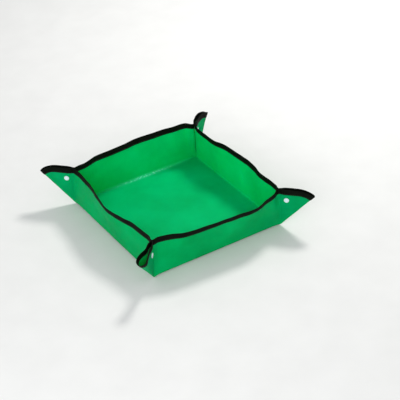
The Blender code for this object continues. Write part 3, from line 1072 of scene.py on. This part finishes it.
floor = Floor()
floor.outer = -upright
floor_sheet = sheet_piece("floor_sheet", floor, long_columns, long_columns)
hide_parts("floor_panel")
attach(floor_sheet, "floor")
wall_sheets = {}
for name, wall in walls.items():
    wall.outer = wall.outward
    fold = FloorFold(wall)
    fold.outer = wall.outward - upright
    piece = sheet_piece(name + "_floor_crease", fold, long_columns, fold_columns)
    bend_floor(piece)

    def above_fold(x, share, wall=wall):
        start = floor_inset(x, wall.length) / wall_height
        return start + (1 - start) * share

    sheet = sheet_piece(name + "_wall_sheet", wall, long_columns, wall_rows, above_fold)
    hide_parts(name + "_wall_panel")
    tape = tape_piece(name + "_wall_tape", wall, long_columns)
    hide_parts(name + "_wall_binding")
    stitches = stitch_piece(name + "_wall_stitches", wall)
    for piece in (sheet, tape, stitches):
        flatten(piece, wall)
    wall_sheets[name] = (sheet, [tape, stitches])

for corner, ends in corners.items():
    for carries_stud, (side, end) in zip((True, False), ends):
        wall = walls[side]
        half = ear_half(corner, side, end, carries_stud)
        half.outer = wall.outward
        fold = EarFold(half)
        fold.outer = wall.outward
        crease = (
            sheet_piece(half.name("{corner}_{side}_crease"), fold, fold_columns, ear_rows),
            tape_piece(half.name("{corner}_{side}_crease_tape"), fold, fold_columns),
            stitch_piece(half.name("{corner}_{side}_crease_stitches"), fold),
        )
        for piece in crease:
            bend_ear(piece, half)
        wall_sheets[side][1].extend(crease)
        sheet = sheet_piece(half.name("{corner}_{side}_ear_sheet"), half, ear_columns, ear_rows)
        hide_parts(half.name("{corner}_ear_{side}_panel"),
                    half.name("{corner}_tip_{side}_panel"))
        tape = tape_piece(half.name("{corner}_{side}_ear_tape"), half, ear_columns)
        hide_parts(half.name("{corner}_ear_{side}_binding"),
                    half.name("{corner}_tip_{side}_binding"))
        stitches = stitch_piece(half.name("{corner}_{side}_ear_stitches"), half, to_x=0.97)
        bulges = half.loop.spread + half.loop.sway < 0
        for piece in (sheet, tape, stitches):
            if bulges:
                flatten_ear(piece, half)
            else:
                bend_tip(piece, half)
        for piece in make_snaps(half, carries_stud):
            if bulges:
                flatten_ear(piece, half)
            else:
                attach(piece, half.name("{corner}_ear_{side}"))

# Floor and backdrop
ground = bpy.data.meshes.new("studio_floor")
square = [(-1, -1), (1, -1), (1, 1), (-1, 1)]
ground.from_pydata([(x * stage_reach, y * stage_reach, 0) for x, y in square], [], [(0, 1, 2, 3)])
studio_floor = placed("studio_floor", ground)
studio_floor.location.z = -stage_drop
material, graph, shader = node_material("studio_paper")
grain = graph.noise(graph.add("ShaderNodeTexCoord").outputs["Object"], 14, 3)
paper = graph.ramp(grain, ((0.3, (0.80, 0.80, 0.79)), (0.7, (0.83, 0.83, 0.82))))
graph.link(paper, shader.inputs["Base Color"])
shader.inputs["Roughness"].default_value = 0.85
ground.materials.append(material)

# World: white where the camera sees it, softer light on the object
world = bpy.data.worlds.new("studio_world")
bpy.context.scene.world = world
world.use_nodes = True
world.node_tree.nodes.clear()
graph = Graph(world.node_tree)
rays = graph.add("ShaderNodeLightPath")
seen = graph.maths("MAXIMUM", rays.outputs["Is Camera Ray"], rays.outputs["Is Transmission Ray"])
sky = graph.add("ShaderNodeBackground")
set_inputs(sky, {"Color": (0.96, 0.98, 1.0, 1), "Strength": sky_strength})
backdrop = graph.add("ShaderNodeBackground")
set_inputs(backdrop, {"Color": (1.0, 1.0, 1.0, 1), "Strength": backdrop_strength})
mixed = graph.add("ShaderNodeMixShader")
graph.link(seen, mixed.inputs[0])
graph.link(sky.outputs[0], mixed.inputs[1])
graph.link(backdrop.outputs[0], mixed.inputs[2])
graph.link(mixed.outputs[0], graph.add("ShaderNodeOutputWorld").inputs["Surface"])


def area_light(name, place, size, power, colour=(1, 1, 1)):
    data = bpy.data.lights.new(name, "AREA")
    data.shape = "DISK"
    data.size = size
    data.energy = power
    data.color = colour
    obj = placed(name, data)
    obj.location = place
    obj.rotation_euler = (-Vector(place)).to_track_quat("-Z", "Y").to_euler()
    return obj


area_light("key_light", key_place, key_size, key_power, key_colour)
area_light("fill_light", fill_place, fill_size, fill_power).visible_glossy = False

# Camera at the photograph's viewing angle
level = math.cos(elevation)
back = Vector((math.sin(azimuth) * level, -math.cos(azimuth) * level, math.sin(elevation)))
right = Vector((math.cos(azimuth), math.sin(azimuth), 0))
up = back.cross(right)
rolled_right = right * math.cos(roll) + up * math.sin(roll)
rolled_up = up * math.cos(roll) - right * math.sin(roll)
camera_data = bpy.data.cameras.new("camera")
camera_data.lens = camera_lens
camera_data.sensor_width = camera_sensor
camera = placed("camera", camera_data)
place = back * camera_distance + right * camera_right + up * camera_up
turn = Matrix((rolled_right, rolled_up, back)).transposed()
camera.matrix_world = Matrix.Translation(place) @ turn.to_4x4()
bpy.context.scene.camera = camera
bpy.context.scene.view_settings.view_transform = "Standard"
